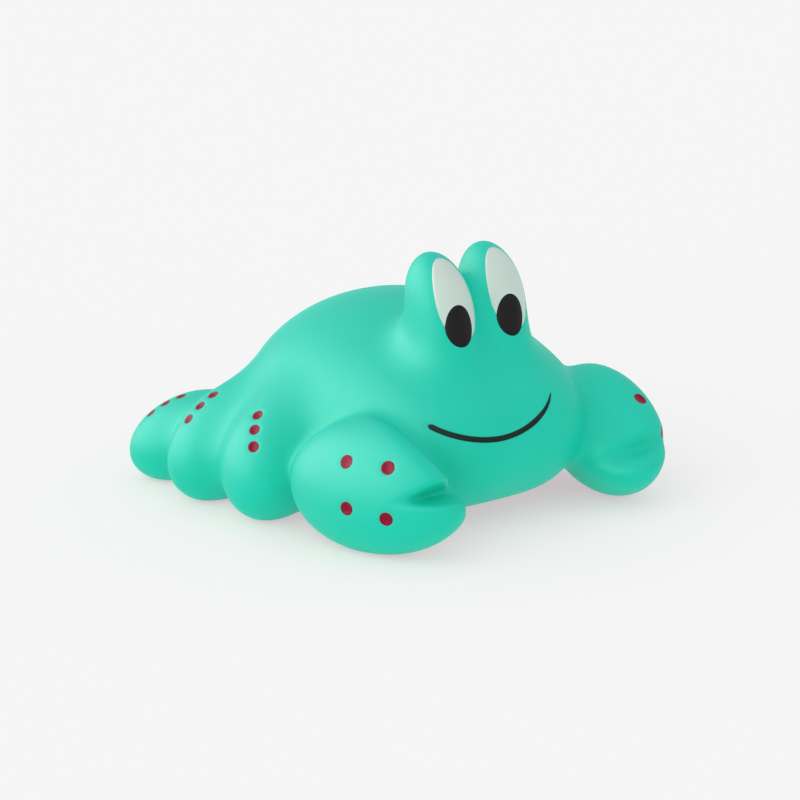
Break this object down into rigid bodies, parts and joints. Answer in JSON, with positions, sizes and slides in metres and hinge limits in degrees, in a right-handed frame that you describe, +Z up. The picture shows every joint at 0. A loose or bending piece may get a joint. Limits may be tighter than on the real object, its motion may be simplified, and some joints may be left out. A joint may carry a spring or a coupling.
{
  "type": "squeaky bath toy crab",
  "caption": "Hollow soft crab bath toy with raised eyes, rounded claws and legs, painted face and spots, and a reed squeaker pressed into its belly.",
  "frame": {"origin": "middle of the toy's box, on the plane that its feet stand on", "axes": "+Z up, the crab looks along -Y, and its own right side is at -X"},
  "size_m": [0.0986, 0.0962, 0.0594],
  "materials": {
    "soft_vinyl": "satin",
    "squeaker_plastic": "matte",
    "reed_film": "gloss",
    "white_paint": "satin",
    "black_paint": "satin",
    "red_paint": "satin"
  },
  "bodies": {
    "toy": {"shell": "soft_vinyl", "squeaker_plug": "squeaker_plastic", "reed_channel": "squeaker_plastic", "reed_wedge": "squeaker_plastic", "eye_white_right": "white_paint", "eye_white_left": "white_paint", "pupil_right": "black_paint", "pupil_left": "black_paint", "smile": "black_paint", "claw_spots_right": "red_paint", "claw_spots_left": "red_paint", "front_leg_spots_right": "red_paint", "front_leg_spots_left": "red_paint", "middle_leg_spots_right": "red_paint", "middle_leg_spots_left": "red_paint", "rear_leg_spots_right": "red_paint", "rear_leg_spots_left": "red_paint"},
    "reed": {"reed": "reed_film"}
  },
  "joints": [
    {"name": "reed_flex", "type": "hinge", "parent": "toy", "child": "reed", "pos_m": [0, 0.0065, 0.00595], "axis": [-1, 0, 0], "range_deg": [-0.9, 6], "stiffness_Nm_per_rad": 0.004}
  ]
}
